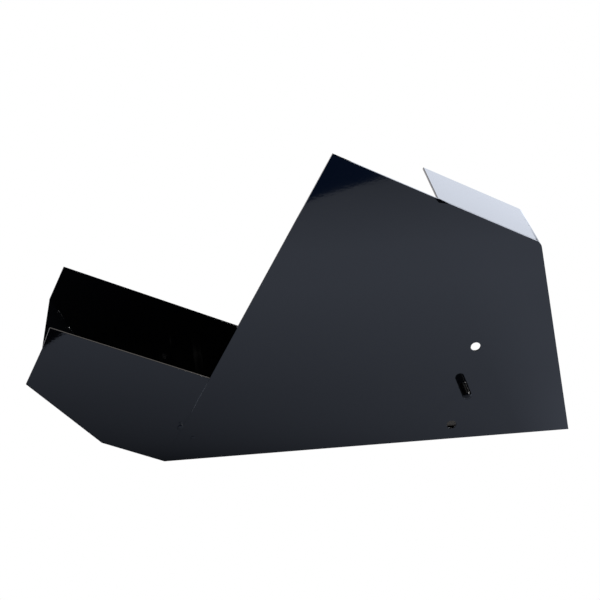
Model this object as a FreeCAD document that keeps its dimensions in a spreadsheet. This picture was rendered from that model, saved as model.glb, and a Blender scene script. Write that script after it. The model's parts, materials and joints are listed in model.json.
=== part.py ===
import FreeCAD, Part
import Sketcher
import os

# Side-plated sluice box: welded sheet shell with a locating stud, and a hinged riffle tray.
#
# Millimetres. X runs up the ramp floor from the trap to the back panel, Y runs from the tall side
# plate to the far wall, Z is up. The box stands on its ramp floor and the origin is at the bottom
# centre of its bounding box.

DRIVING_DIMENSIONS = {
    # shell
    "sheet_thick": 2.0,
    "box_width": 120.0,
    "floor_length": 434.0,
    "tall_edge": 382.4,
    "tall_angle": 62.4,
    "top_edge": 238.0,
    "corner_radius": 11.0,
    "bend_radius": 4.0,
    "tray_height": 110.6,
    "trap_length": 69.5,
    "trap_slope": 25.1,
    "skirt_length": 104.5,
    "skirt_angle": 132.0,
    "apron_length": 127.3,
    "apron_far_length": 116.2,
    "apron_angle": 113.4,
    "near_lip_drop": 26.0,
    "near_lip_angle": 67.6,
    "far_lip_drop": 42.6,
    "far_lip_angle": 64.3,
    "far_rim_slope": 25.6,
    "ramp_lip": 18.0,
    "hood_start": 117.5,
    "hood_depth": 75.0,
    "notch_lead": 5.0,
    "notch_deepest": 2.5,
    "notch_depth": 3.2,
    "notch_length": 13.5,
    # holes in the side plate
    "bolt_hole_dia": 10.3,
    "upper_hole_x": 326.8,
    "upper_hole_z": 112.4,
    "lower_hole_x": 305.1,
    "lower_hole_z": 17.8,
    # locating stud, midway between the two bolt holes
    "stud_radius": 5.0,
    "stud_root_radius": 5.2,
    "stud_root_reach": 0.4,
    "stud_reach": 20.0,
    "stud_nose": 2.0,
    "stud_head_radius": 8.0,
    "stud_head_thick": 1.5,
    # mats and their strips
    "mat_start": 4.0,
    "mat_end": 402.0,
    "mat_margin": 2.5,
    "mat_base": 2.0,
    "rib_height": 2.0,
    "rib_width": 3.0,
    "rib_pitch": 10.0,
    "first_rib": 20.0,
    "strip_width": 12.0,
    "strip_margin": 4.0,
    "strip_thick": 2.0,
    "trap_mat_start": 7.0,
    "trap_mat_length": 54.0,
    "trap_rib_pitch": 9.0,
    # rivets
    "rivet_radius": 2.0,
    "rivet_head_radius": 4.0,
    "rivet_head_height": 1.4,
    "rivet_pitch": 26.0,
    # riffle tray
    "tray_start": 20.0,
    "tray_side_gap": 10.0,
    "rail_base": 6.3,
    "rail_height": 18.0,
    "rail_thick": 2.0,
    "rail_leg": 12.0,
    "rail_leg_end": 396.0,
    "access_width": 26.0,
    "hinge_x": 414.0,
    "screen_thick": 1.5,
    "slot_length": 13.0,
    "slot_width": 8.0,
    "slot_pitch_x": 14.0,
    "slot_pitch_y": 17.0,
    "first_slot_x": 35.0,
    "first_slot_y": 34.5,
    "riffle_thick": 1.5,
    "riffle_blade": 12.0,
    "riffle_lean": 100.0,
    "riffle_top": 9.0,
    "riffle_pitch": 48.0,
    "first_riffle": 54.0,
    # hinge
    "rod_radius": 2.5,
    "rod_clearance": 0.05,
    "rod_overhang": 3.5,
    "clip_thick": 0.7,
    "clip_radius": 4.5,
    "clip_gap": 0.05,
    "clip_slot": 3.0,
    "groove_depth": 0.7,
    "ear_gap": 2.0,
    "ear_thick": 2.0,
    "ear_length": 22.0,
    "ear_height": 22.0,
    "ear_foot": 16.0,
    # lift handle
    "handle_rod": 2.5,
    "handle_half_span": 20.0,
    "handle_foot_z": 10.0,
    "handle_leg": 15.0,
}

RIFFLE_COUNT = 7
RAMP_RIB_COUNT = 37
TRAP_RIB_COUNT = 6
SLOT_COUNT_X = 25
SLOT_COUNT_Y = 4
FULL_TURN = 360.0
HALF_TURN = 180.0
SAME_PLACE = 1e-3

doc = FreeCAD.newDocument("sluice_box")
sheet = doc.addObject("Spreadsheet::Sheet", "params")
for row, (alias, size) in enumerate(DRIVING_DIMENSIONS.items(), start=1):
    sheet.set(f"A{row}", alias)
    sheet.set(f"B{row}", str(size))
    sheet.setAlias(f"B{row}", alias)
doc.recompute()

sub_parts = []


# ---------------------------------------------------------------- expressions and points
class Names:
    """Turns an attribute, such as p.box_width, into the sheet cell's name in an expression."""

    def __getattr__(self, alias):
        if alias not in DRIVING_DIMENSIONS:
            raise AttributeError(alias)
        return f"params.{alias}"


p = Names()


def number(expression):
    """Present value of an expression, in millimetres or degrees."""
    return float(sheet.evalExpression(str(expression)))


def bind(item, prop, expression):
    """Drive one property of an object from the sheet."""
    item.setExpression(prop, str(expression))


def polar(start, length, angle):
    """Point at a length and direction from another, in the X-Z plane."""
    return (f"({start[0]} + {length} * cos({angle}))", f"({start[1]} + {length} * sin({angle}))")


def mitre(corner, thick, angle_in, angle_out):
    """Point on the left-hand face of a folded sheet whose right-hand face turns at corner."""
    reach = f"{thick} / cos(({angle_out} - ({angle_in})) / 2)"
    return polar(corner, reach, f"(({angle_in} + {angle_out}) / 2 + 90)")


def rectangle(x0, y0, x1, y1):
    return [(x0, y0), (x1, y0), (x1, y1), (x0, y1)]


# Corners of the shell in its own X-Z plane, with the ramp's foot at zero.
FOOT = ("0", "0")
BACK = (p.floor_length, "0")
TALL_TOP = polar(FOOT, p.tall_edge, p.tall_angle)
HOOD_START = polar(TALL_TOP, p.hood_start, f"({p.tall_angle} - 90)")
HOOD_CORNER = polar(TALL_TOP, p.top_edge, f"({p.tall_angle} - 90)")
TRAY_CORNER = polar(FOOT, p.tray_height, p.tall_angle)
TRAP_TOE = polar(FOOT, p.trap_length, f"(180 - {p.trap_slope})")
SKIRT_TIP = polar(TRAP_TOE, p.skirt_length, p.skirt_angle)
NEAR_LIP = polar(TRAP_TOE, p.apron_length, p.apron_angle)
FAR_LIP = polar(TRAP_TOE, p.apron_far_length, p.apron_angle)
NEAR_RIM = polar(NEAR_LIP, p.near_lip_drop, p.near_lip_angle)
FAR_RIM = polar(FAR_LIP, p.far_lip_drop, p.far_lip_angle)

# The back edge rises from BACK to HOOD_CORNER.
BACK_RUN = f"({BACK[0]} - {HOOD_CORNER[0]})"
BACK_ANGLE = f"(180 - atan({HOOD_CORNER[1]} / {BACK_RUN}) / 1 deg)"
FLOOR_END = f"({BACK[0]} - {p.sheet_thick} * {BACK_RUN} / {HOOD_CORNER[1]})"

# Places across the width.
INNER_NEAR = p.sheet_thick
INNER_FAR = f"({p.box_width} - {p.sheet_thick})"
MIDDLE_Y = f"({p.box_width} / 2)"

# Stack of the riffle tray above the ramp floor.
RAIL_TOP = f"({p.rail_base} + {p.rail_height})"
LEG_TOP = f"({p.rail_base} + {p.rail_thick})"
SCREEN_TOP = f"({LEG_TOP} + {p.screen_thick})"
HINGE_Z = f"({p.rail_base} + {p.rail_height} / 2)"
TRAY_INNER_NEAR = f"({p.tray_side_gap} + {p.rail_thick})"
TRAY_INNER_FAR = f"({p.box_width} - {p.tray_side_gap} - {p.rail_thick})"
END_BAR_X = f"({p.rail_leg_end} - {p.rail_thick})"

# Where every sub-part is set, so that the origin is at the bottom centre of the whole box.
SHIFT_X = f"(-({BACK[0]} + {SKIRT_TIP[0]}) / 2)"
SHIFT_Y = f"(-({p.box_width} - {p.stud_reach}) / 2)"


# ---------------------------------------------------------------- sketch and feature helpers
def place(item, along_x="0"):
    """Move a finished sub-part from shell corners to the box's own origin."""
    bind(item, "Placement.Base.x", f"{SHIFT_X} + {along_x}")
    bind(item, "Placement.Base.y", SHIFT_Y)


def new_body(label, along_x="0"):
    body = doc.addObject("PartDesign::Body", label)
    body.Label = label
    place(body, along_x)
    sub_parts.append(body)
    return body


def origin_plane(body, role):
    return next(item for item in body.Origin.OriginFeatures if item.Role == role)


def new_sketch(body, role, offset=("0", "0", "0"), turn=None):
    """Sketch on one of the body's origin planes, moved and turned in that plane's own axes."""
    sketch = body.newObject("Sketcher::SketchObject", f"{body.Name}_sketch")
    sketch.AttachmentSupport = [(origin_plane(body, role), "")]
    sketch.MapMode = "FlatFace"
    if turn is not None:
        rotation = FreeCAD.Rotation(FreeCAD.Vector(0, 0, 1), number(turn))
        sketch.AttachmentOffset = FreeCAD.Placement(FreeCAD.Vector(), rotation)
        bind(sketch, "AttachmentOffset.Rotation.Angle", turn)
    for axis, distance in zip("xyz", offset):
        bind(sketch, f"AttachmentOffset.Base.{axis}", distance)
    return sketch


def side_sketch(body, y="0", origin=FOOT, turn=None):
    """Sketch in the X-Z plane at a distance Y from the side plate's outer face."""
    return new_sketch(body, "XZ_Plane", (origin[0], origin[1], f"-({y})"), turn)


def plan_sketch(body, z="0", origin=("0", "0")):
    """Sketch in the X-Y plane at a height Z."""
    return new_sketch(body, "XY_Plane", (origin[0], origin[1], z))


def pin_point(sketch, geometry, vertex, point):
    """Tie one vertex to its two coordinates."""
    for kind, distance in (("DistanceX", point[0]), ("DistanceY", point[1])):
        index = sketch.addConstraint(
            Sketcher.Constraint(kind, -1, 1, geometry, vertex, number(distance)))
        bind(sketch, f"Constraints[{index}]", distance)


def outline(sketch, points):
    """Closed outline of straight lines through points given as pairs of expressions."""
    corners = [FreeCAD.Vector(number(x), number(y), 0) for x, y in points]
    count = len(corners)
    for index in range(count):
        sketch.addGeometry(Part.LineSegment(corners[index], corners[(index + 1) % count]))
    for index in range(count):
        sketch.addConstraint(Sketcher.Constraint("Coincident", index, 2, (index + 1) % count, 1))
    for index, point in enumerate(points):
        pin_point(sketch, index, 1, point)


def circle(sketch, centre, radius):
    """Circle with its centre and radius given as expressions."""
    middle = FreeCAD.Vector(number(centre[0]), number(centre[1]), 0)
    index = sketch.addGeometry(Part.Circle(middle, FreeCAD.Vector(0, 0, 1), number(radius)))
    pin_point(sketch, index, 3, centre)
    constraint = sketch.addConstraint(Sketcher.Constraint("Radius", index, number(radius)))
    bind(sketch, f"Constraints[{constraint}]", radius)


def pad(body, sketch, length, reverse=False):
    feature = body.newObject("PartDesign::Pad", f"{body.Name}_pad")
    feature.Profile = sketch
    feature.Reversed = reverse
    bind(feature, "Length", length)
    return feature


def pocket(body, sketch, length=None, reverse=False):
    """Cut a sketch out of the body, to a length or right through both ways."""
    before = body_volume(body)
    feature = body.newObject("PartDesign::Pocket", f"{body.Name}_pocket")
    feature.Profile = sketch
    feature.Reversed = reverse
    if length is None:
        feature.SideType = "Symmetric"
        feature.Type = "ThroughAll"
    else:
        bind(feature, "Length", length)
    doc.recompute()
    if not feature.Shape.Volume < before - SAME_PLACE:
        raise RuntimeError(f"{feature.Name} cuts nothing from {body.Label}")
    return feature


def body_volume(body):
    doc.recompute()
    return body.Shape.Volume


def side_pad(body, points, y0, y1):
    """Plate in the X-Z plane between two distances from the side plate's outer face."""
    sketch = side_sketch(body, y0)
    outline(sketch, points)
    return pad(body, sketch, f"({y1} - {y0})", reverse=True)


def side_hole(body, centre, radius):
    """Round hole along Y right through a body."""
    sketch = side_sketch(body)
    circle(sketch, centre, radius)
    return pocket(body, sketch)


def box_pad(body, x0, y0, z0, x1, y1, z1):
    sketch = plan_sketch(body, z0)
    outline(sketch, rectangle(x0, y0, x1, y1))
    return pad(body, sketch, f"({z1} - {z0})")


def fillet(body, corner, radius):
    """Round the edges along Y that stand at a corner of the X-Z plane."""
    doc.recompute()
    base = body.Tip
    x, z = number(corner[0]), number(corner[1])
    names = []
    for index, edge in enumerate(base.Shape.Edges, start=1):
        ends = [vertex.Point for vertex in edge.Vertexes]
        if all(abs(end.x - x) < SAME_PLACE and abs(end.z - z) < SAME_PLACE for end in ends):
            names.append(f"Edge{index}")
    if not names:
        raise RuntimeError(f"{body.Label} has no edge at {x:.2f}, {z:.2f}")
    feature = body.newObject("PartDesign::Fillet", f"{body.Name}_fillet")
    feature.Base = (base, names)
    bind(feature, "Radius", radius)
    doc.recompute()
    return feature


def repeat(body, feature, sketch, axis, pitch, count):
    """Repeat a feature along one axis of its sketch, and make the row the body's tip."""
    row_feature = body.newObject("PartDesign::LinearPattern", f"{body.Name}_row")
    row_feature.Originals = [feature]
    row_feature.Direction = (sketch, [axis])
    row_feature.Mode = "Spacing"
    row_feature.Occurrences = count
    bind(row_feature, "Offset", pitch)
    body.Tip = row_feature
    return row_feature


def turned(label, centre, profile):
    """Piece turned about an axis along Y: profile points are (radius, Y)."""
    body = new_body(label)
    sketch = plan_sketch(body, centre[1], (centre[0], "0"))
    outline(sketch, profile)
    feature = body.newObject("PartDesign::Revolution", f"{body.Name}_turn")
    feature.Profile = sketch
    feature.ReferenceAxis = (sketch, ["V_Axis"])
    feature.Angle = FULL_TURN
    return body


# ---------------------------------------------------------------- shell
STUD_CENTRE = (f"(({p.upper_hole_x} + {p.lower_hole_x}) / 2)",
               f"(({p.upper_hole_z} + {p.lower_hole_z}) / 2)")
HINGE_CENTRE = (p.hinge_x, HINGE_Z)


def side_plate():
    """Tall near plate: two bolt holes, the stud's hole and a wedge notch at the hood's start."""
    body = new_body("side_plate")
    side_pad(body, [FOOT, BACK, HOOD_CORNER, TALL_TOP], "0", p.sheet_thick)
    fillet(body, HOOD_CORNER, p.corner_radius)
    side_hole(body, (p.upper_hole_x, p.upper_hole_z), f"{p.bolt_hole_dia} / 2")
    side_hole(body, (p.lower_hole_x, p.lower_hole_z), f"{p.bolt_hole_dia} / 2")
    side_hole(body, STUD_CENTRE, p.stud_root_radius)
    down_edge = f"({p.tall_angle} - 90)"
    lead = polar(HOOD_START, p.notch_lead, f"({down_edge} + 180)")
    deepest = polar(polar(HOOD_START, p.notch_deepest, down_edge), p.notch_depth,
                    f"({down_edge} - 90)")
    tail = polar(HOOD_START, p.notch_length, down_edge)
    sketch = side_sketch(body)
    outline(sketch, [lead, deepest, tail, polar(HOOD_START, p.notch_depth, p.tall_angle)])
    pocket(body, sketch)


def tray_side_wall():
    """Low near wall of the tray, butted to the tall plate from its foot to the tray's corner."""
    body = new_body("tray_side_wall")
    points = [FOOT, TRAY_CORNER, NEAR_RIM, NEAR_LIP, SKIRT_TIP, TRAP_TOE]
    side_pad(body, points, "0", p.sheet_thick)


def floor_sheet():
    """Folded sheet between the side walls: apron, trap floor and ramp floor."""
    body = new_body("floor_sheet")
    down_apron = f"({p.apron_angle} - 180)"
    down_trap = f"(0 - {p.trap_slope})"
    trap_inner = mitre(TRAP_TOE, p.sheet_thick, down_apron, down_trap)
    foot_inner = mitre(FOOT, p.sheet_thick, down_trap, "0")
    lip_inner = polar(NEAR_LIP, p.sheet_thick, f"({down_apron} + 90)")
    points = [NEAR_LIP, TRAP_TOE, FOOT, (FLOOR_END, "0"), (FLOOR_END, p.sheet_thick)]
    points += [foot_inner, trap_inner, lip_inner]
    side_pad(body, points, INNER_NEAR, INNER_FAR)
    fillet(body, TRAP_TOE, p.bend_radius)
    fillet(body, trap_inner, f"{p.bend_radius} - {p.sheet_thick}")
    fillet(body, FOOT, p.bend_radius)
    fillet(body, foot_inner, f"{p.bend_radius} - {p.sheet_thick}")
    # The front lip falls from the near wall to the far wall.
    above = f"({NEAR_LIP[1]} + {p.sheet_thick} * 2)"
    sketch = new_sketch(body, "YZ_Plane")
    outline(sketch, [(INNER_NEAR, NEAR_LIP[1]), (INNER_FAR, FAR_LIP[1]), (INNER_FAR, above),
                     (INNER_NEAR, above)])
    pocket(body, sketch)
    # Holes for the strip rivets and the hinge ear rivets.
    for centre in strip_rivet_places() + ear_rivet_places():
        sketch = plan_sketch(body)
        circle(sketch, centre, p.rivet_radius)
        pocket(body, sketch, p.sheet_thick, reverse=True)


def far_wall():
    """Low far wall: straight rim that runs out on the ramp, then a low lip to the back."""
    body = new_body("far_wall")
    rim_run = f"(({FAR_RIM[1]} - {p.ramp_lip}) / tan({p.far_rim_slope}))"
    rim_end = (f"({FAR_RIM[0]} + {rim_run})", p.ramp_lip)
    lip_end = f"({BACK[0]} - {p.ramp_lip} * {BACK_RUN} / {HOOD_CORNER[1]})"
    points = [FOOT, BACK, (lip_end, p.ramp_lip), rim_end, FAR_RIM, FAR_LIP, TRAP_TOE]
    side_pad(body, points, INNER_FAR, p.box_width)


def hood_back_panel():
    """Hood strip folded down into the back panel, which widens to the floor."""
    body = new_body("hood_back_panel")
    hood_angle = f"({p.tall_angle} + 90)"
    inner_start = polar(HOOD_START, p.sheet_thick, f"({hood_angle} + 90)")
    inner_corner = mitre(HOOD_CORNER, p.sheet_thick, BACK_ANGLE, hood_angle)
    inner_end = f"({FLOOR_END} - {p.sheet_thick} / sin({BACK_ANGLE}))"
    points = [(FLOOR_END, p.sheet_thick), HOOD_CORNER, HOOD_START, inner_start, inner_corner,
              (inner_end, p.sheet_thick)]
    side_pad(body, points, INNER_NEAR, INNER_FAR)
    fillet(body, HOOD_CORNER, p.corner_radius)
    fillet(body, inner_corner, f"{p.corner_radius} - {p.sheet_thick}")
    above = f"({HOOD_START[1]} + {p.sheet_thick})"
    sketch = new_sketch(body, "YZ_Plane")
    outline(sketch, [(INNER_FAR, p.ramp_lip), (p.hood_depth, HOOD_CORNER[1]),
                     (p.hood_depth, above), (p.box_width, above), (p.box_width, p.ramp_lip)])
    pocket(body, sketch)


# ---------------------------------------------------------------- locating stud
def mount_stud():
    """Round-nosed stud clinched into the side plate by a thicker root, with a thin head inside."""
    head_face = f"({p.sheet_thick} + {p.stud_head_thick})"
    body = turned("mount_stud", STUD_CENTRE, [
        ("0", f"(-{p.stud_reach})"), (p.stud_radius, f"(-{p.stud_reach})"),
        (p.stud_radius, f"(-{p.stud_root_reach})"), (p.stud_root_radius, f"(-{p.stud_root_reach})"),
        (p.stud_root_radius, p.sheet_thick), (p.stud_head_radius, p.sheet_thick),
        (p.stud_head_radius, head_face), ("0", head_face)])
    round_end(body, p.stud_reach, p.stud_nose)


def round_end(body, reach, radius):
    """Round the circular edge at the low-Y end of a turned piece."""
    doc.recompute()
    base = body.Tip
    end = -number(reach)
    names = [f"Edge{index}" for index, edge in enumerate(base.Shape.Edges, start=1)
             if edge.Closed and abs(edge.CenterOfMass.y - end) < SAME_PLACE]
    feature = body.newObject("PartDesign::Fillet", f"{body.Name}_nose")
    feature.Base = (base, names)
    bind(feature, "Radius", radius)


# ---------------------------------------------------------------- mats, strips and rivets
FAR_MARGIN = f"({p.box_width} - {p.mat_margin})"
STRIP_BASE = f"({p.sheet_thick} + {p.mat_base})"
STRIP_TOP = f"({STRIP_BASE} + {p.strip_thick})"


def strip_ends():
    """X of the middle of the lower and the upper strip."""
    half = f"{p.strip_width} / 2"
    return [f"({p.mat_start} + {half})", f"({p.mat_end} - {half})"]


def strip_rivet_places():
    rows = [f"({MIDDLE_Y} + {side} * {p.rivet_pitch})" for side in (-1, 0, 1)]
    return [(x, y) for x in strip_ends() for y in rows]


def rivet_holes(body, places):
    for centre in places:
        sketch = plan_sketch(body)
        circle(sketch, centre, p.rivet_radius)
        pocket(body, sketch)


def ribbed_mat():
    """Rubber mat on the ramp with ribs across the flow."""
    body = new_body("ribbed_mat")
    box_pad(body, p.mat_start, p.mat_margin, p.sheet_thick, p.mat_end, FAR_MARGIN, STRIP_BASE)
    sketch = plan_sketch(body, STRIP_BASE)
    outline(sketch, rectangle(p.first_rib, p.mat_margin, f"({p.first_rib} + {p.rib_width})",
                              FAR_MARGIN))
    rib = pad(body, sketch, p.rib_height)
    repeat(body, rib, sketch, "H_Axis", p.rib_pitch, RAMP_RIB_COUNT)
    rivet_holes(body, strip_rivet_places())


def trap_mat():
    """Rubber mat bonded to the trap floor, drawn along the trap's own slope."""
    body = new_body("trap_mat")
    slope = f"(180 - {p.trap_slope})"
    width = f"({FAR_MARGIN} - {p.mat_margin})"
    face = f"(-{p.sheet_thick})"
    base_top = f"(-{STRIP_BASE})"
    rib_top = f"(-{STRIP_BASE} - {p.rib_height})"
    sketch = side_sketch(body, p.mat_margin, turn=slope)
    mat_end = f"({p.trap_mat_start} + {p.trap_mat_length})"
    outline(sketch, rectangle(p.trap_mat_start, base_top, mat_end, face))
    pad(body, sketch, width, reverse=True)
    sketch = side_sketch(body, p.mat_margin, turn=slope)
    outline(sketch, rectangle(p.trap_mat_start, rib_top,
                              f"({p.trap_mat_start} + {p.rib_width})", base_top))
    rib = pad(body, sketch, width, reverse=True)
    repeat(body, rib, sketch, "H_Axis", p.trap_rib_pitch, TRAP_RIB_COUNT)


def mat_strip(label, middle, places):
    """Flat strip that clamps one end of the ramp mat."""
    body = new_body(label)
    half = f"{p.strip_width} / 2"
    box_pad(body, f"({middle} - {half})", p.strip_margin, STRIP_BASE,
            f"({middle} + {half})", f"({p.box_width} - {p.strip_margin})", STRIP_TOP)
    rivet_holes(body, places)


def rivet_group(label, places, seat):
    """Rivets, each a separate solid: shank flush under the floor, cone-topped head on seat."""
    group = []
    for x, y in places:
        shank = doc.addObject("Part::Cylinder", f"{label}_shank")
        bind(shank, "Radius", p.rivet_radius)
        bind(shank, "Height", seat)
        head = doc.addObject("Part::Cone", f"{label}_head")
        bind(head, "Radius1", p.rivet_head_radius)
        bind(head, "Radius2", p.rivet_radius)
        bind(head, "Height", p.rivet_head_height)
        bind(head, "Placement.Base.z", seat)
        for piece in (shank, head):
            bind(piece, "Placement.Base.x", x)
            bind(piece, "Placement.Base.y", y)
        rivet = doc.addObject("Part::Fuse", f"{label}_rivet")
        rivet.Base = shank
        rivet.Tool = head
        group.append(rivet)
    compound = doc.addObject("Part::Compound", label)
    compound.Label = label
    compound.Links = group
    place(compound)
    sub_parts.append(compound)


# ---------------------------------------------------------------- hinge of the riffle tray
EAR_NEAR = f"({TRAY_INNER_NEAR} + {p.ear_gap})"
EAR_FAR = f"({TRAY_INNER_FAR} - {p.ear_gap})"
EAR_TOP = f"({p.sheet_thick} + {p.ear_height})"
EAR_SEAT = f"({p.sheet_thick} + {p.ear_thick})"


def ear_rivet_places():
    reach = f"({p.ear_thick} + {p.ear_foot} / 2)"
    return [(f"({p.hinge_x} + {side} * {p.ear_length} / 4)", y)
            for y in (f"({EAR_NEAR} + {reach})", f"({EAR_FAR} - {reach})") for side in (-1, 1)]


def hinge_ear(label, wall, inner_face, foot_edge, places):
    """Angle bracket: an upright leg with the rod's hole, and a riveted foot towards the middle."""
    body = new_body(label)
    x0 = f"({p.hinge_x} - {p.ear_length} / 2)"
    x1 = f"({p.hinge_x} + {p.ear_length} / 2)"
    low, high = sorted((wall, inner_face), key=number)
    box_pad(body, x0, low, p.sheet_thick, x1, high, EAR_TOP)
    low, high = sorted((inner_face, foot_edge), key=number)
    box_pad(body, x0, low, p.sheet_thick, x1, high, EAR_SEAT)
    side_hole(body, HINGE_CENTRE, p.rod_radius)
    rivet_holes(body, places)


ROD_START = f"({p.tray_side_gap} - {p.rod_overhang})"
ROD_END = f"({p.box_width} - {p.tray_side_gap} + {p.rod_overhang})"
ROD_CLIP_NEAR = f"({p.tray_side_gap} - 2 * {p.clip_gap} - {p.clip_thick})"
ROD_CLIP_FAR = f"({p.box_width} - {p.tray_side_gap} + 2 * {p.clip_gap})"


def groove_profile(radius, start, grooves, end):
    """Half section of a rod from start to end with square grooves at the given places."""
    root = f"({radius} - {p.groove_depth})"
    points = [("0", start), (radius, start)]
    for groove in grooves:
        groove_end = f"({groove} + {p.clip_thick})"
        points += [(radius, groove), (root, groove), (root, groove_end), (radius, groove_end)]
    return points + [(radius, end), ("0", end)]


def clip_group(label, centre, rod_radius, places):
    """Flat retaining clips, each a separate solid: a ring open below, seated in a rod's groove."""
    group = []
    for y in places:
        disc = doc.addObject("Part::Cylinder", f"{label}_disc")
        bind(disc, "Radius", p.clip_radius)
        bore = doc.addObject("Part::Cylinder", f"{label}_bore")
        bind(bore, "Radius", f"({rod_radius} - {p.groove_depth})")
        slot = doc.addObject("Part::Box", f"{label}_slot")
        bind(slot, "Length", p.clip_slot)
        bind(slot, "Width", p.clip_thick)
        bind(slot, "Height", f"{p.clip_radius} * 2")
        for piece in (disc, bore):
            bind(piece, "Height", p.clip_thick)
            piece.Placement.Rotation = FreeCAD.Rotation(FreeCAD.Vector(1, 0, 0), -90)
            bind(piece, "Placement.Base.x", centre[0])
            bind(piece, "Placement.Base.z", centre[1])
        bind(slot, "Placement.Base.x", f"({centre[0]} - {p.clip_slot} / 2)")
        bind(slot, "Placement.Base.z", f"({centre[1]} - {p.clip_radius} * 2)")
        for piece in (disc, bore, slot):
            bind(piece, "Placement.Base.y", y)
        ring = disc
        for tool in (bore, slot):
            cut = doc.addObject("Part::Cut", f"{label}_cut")
            cut.Base = ring
            cut.Tool = tool
            ring = cut
        group.append(ring)
    compound = doc.addObject("Part::Compound", label)
    compound.Label = label
    compound.Links = group
    place(compound)
    sub_parts.append(compound)


def hinge_rod():
    """Rod held by both ears, on which the rails turn."""
    turned("hinge_rod", HINGE_CENTRE,
           groove_profile(p.rod_radius, ROD_START, [ROD_CLIP_NEAR, ROD_CLIP_FAR], ROD_END))


# ---------------------------------------------------------------- riffle tray
def rail(label, outer_face, inner_face, leg_edge, access_x=None):
    """Angle rail: a web with a round hinge end, and a leg inwards that carries the screen.

    An open gap in the web gives a socket room at the side plate's lower bolt hole.
    """
    body = new_body(label)
    low, high = sorted((outer_face, inner_face), key=number)
    web = rectangle(p.tray_start, p.rail_base, p.hinge_x, RAIL_TOP)
    side_pad(body, web, low, high)
    sketch = side_sketch(body, low)
    circle(sketch, HINGE_CENTRE, f"{p.rail_height} / 2")
    pad(body, sketch, p.rail_thick, reverse=True)
    low, high = sorted((inner_face, leg_edge), key=number)
    box_pad(body, p.tray_start, low, p.rail_base, p.rail_leg_end, high, LEG_TOP)
    side_hole(body, HINGE_CENTRE, f"{p.rod_radius} + {p.rod_clearance}")
    if access_x is not None:
        sketch = side_sketch(body)
        half = f"{p.access_width} / 2"
        outline(sketch, rectangle(f"({access_x} - {half})", SCREEN_TOP, f"({access_x} + {half})",
                                  f"({RAIL_TOP} + {p.rail_thick})"))
        pocket(body, sketch)


def end_bar(label, x):
    """Flat bar across one end of the tray, between the rails."""
    body = new_body(label)
    box_pad(body, x, TRAY_INNER_NEAR, LEG_TOP, f"({x} + {p.rail_thick})", TRAY_INNER_FAR,
            RAIL_TOP)


def screen():
    """Slotted sheet on the rails' legs, under the riffles."""
    body = new_body("screen")
    box_pad(body, f"({p.tray_start} + {p.rail_thick})", TRAY_INNER_NEAR, LEG_TOP, END_BAR_X,
            TRAY_INNER_FAR, SCREEN_TOP)
    doc.recompute()
    sketch = plan_sketch(body, SCREEN_TOP)
    half_length, half_width = f"{p.slot_length} / 2", f"{p.slot_width} / 2"
    outline(sketch, rectangle(
        f"({p.first_slot_x} - {half_width})", f"({p.first_slot_y} - {half_length})",
        f"({p.first_slot_x} + {half_width})", f"({p.first_slot_y} + {half_length})"))
    slot = pocket(body, sketch, p.screen_thick)
    grid = body.newObject("PartDesign::MultiTransform", "screen_grid")
    grid.Originals = [slot]
    rows = []
    for axis, pitch, count in (("H_Axis", p.slot_pitch_x, SLOT_COUNT_X),
                               ("V_Axis", p.slot_pitch_y, SLOT_COUNT_Y)):
        pattern = body.newObject("PartDesign::LinearPattern", f"screen_{axis}")
        pattern.Direction = (sketch, [axis])
        pattern.Mode = "Spacing"
        pattern.Occurrences = count
        bind(pattern, "Offset", pitch)
        rows.append(pattern)
    grid.Transformations = rows
    body.Tip = grid


def riffle(index):
    """Bent bar across the tray: a leaning blade with a lip that points down the ramp."""
    body = new_body(f"riffle_{index + 1}", along_x=f"{index} * {p.riffle_pitch}")
    foot = (p.first_riffle, SCREEN_TOP)
    bend = polar(foot, p.riffle_blade, p.riffle_lean)
    tip = polar(bend, p.riffle_top, "180")
    tip_under = polar(tip, p.riffle_thick, "270")
    bend_under = mitre(bend, p.riffle_thick, p.riffle_lean, "180")
    foot_width = f"({p.riffle_thick} / sin({p.riffle_lean}))"
    foot_under = (f"({p.first_riffle} - {foot_width})", SCREEN_TOP)
    side_pad(body, [foot, bend, tip, tip_under, bend_under, foot_under], TRAY_INNER_NEAR,
             TRAY_INNER_FAR)


def lift_handle():
    """Round rod bent to a U, standing on the lower end bar's outer face."""
    body = new_body("lift_handle")
    x = f"({p.tray_start} - {p.handle_rod})"
    first, second = (f"({MIDDLE_Y} + {side} * {p.handle_half_span})" for side in (-1, 1))
    handle_leg(body, (x, first))
    sketch = plan_sketch(body, f"({p.handle_foot_z} + {p.handle_leg})", (x, MIDDLE_Y))
    circle(sketch, ("0", f"(-{p.handle_half_span})"), p.handle_rod)
    bow = body.newObject("PartDesign::Revolution", "lift_handle_bow")
    bow.Profile = sketch
    bow.ReferenceAxis = (sketch, ["H_Axis"])
    bow.Angle = HALF_TURN
    bow.Reversed = True
    handle_leg(body, (x, second))


def handle_leg(body, centre):
    """Straight leg of the lift handle."""
    sketch = plan_sketch(body, p.handle_foot_z)
    circle(sketch, centre, p.handle_rod)
    pad(body, sketch, p.handle_leg)


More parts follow.
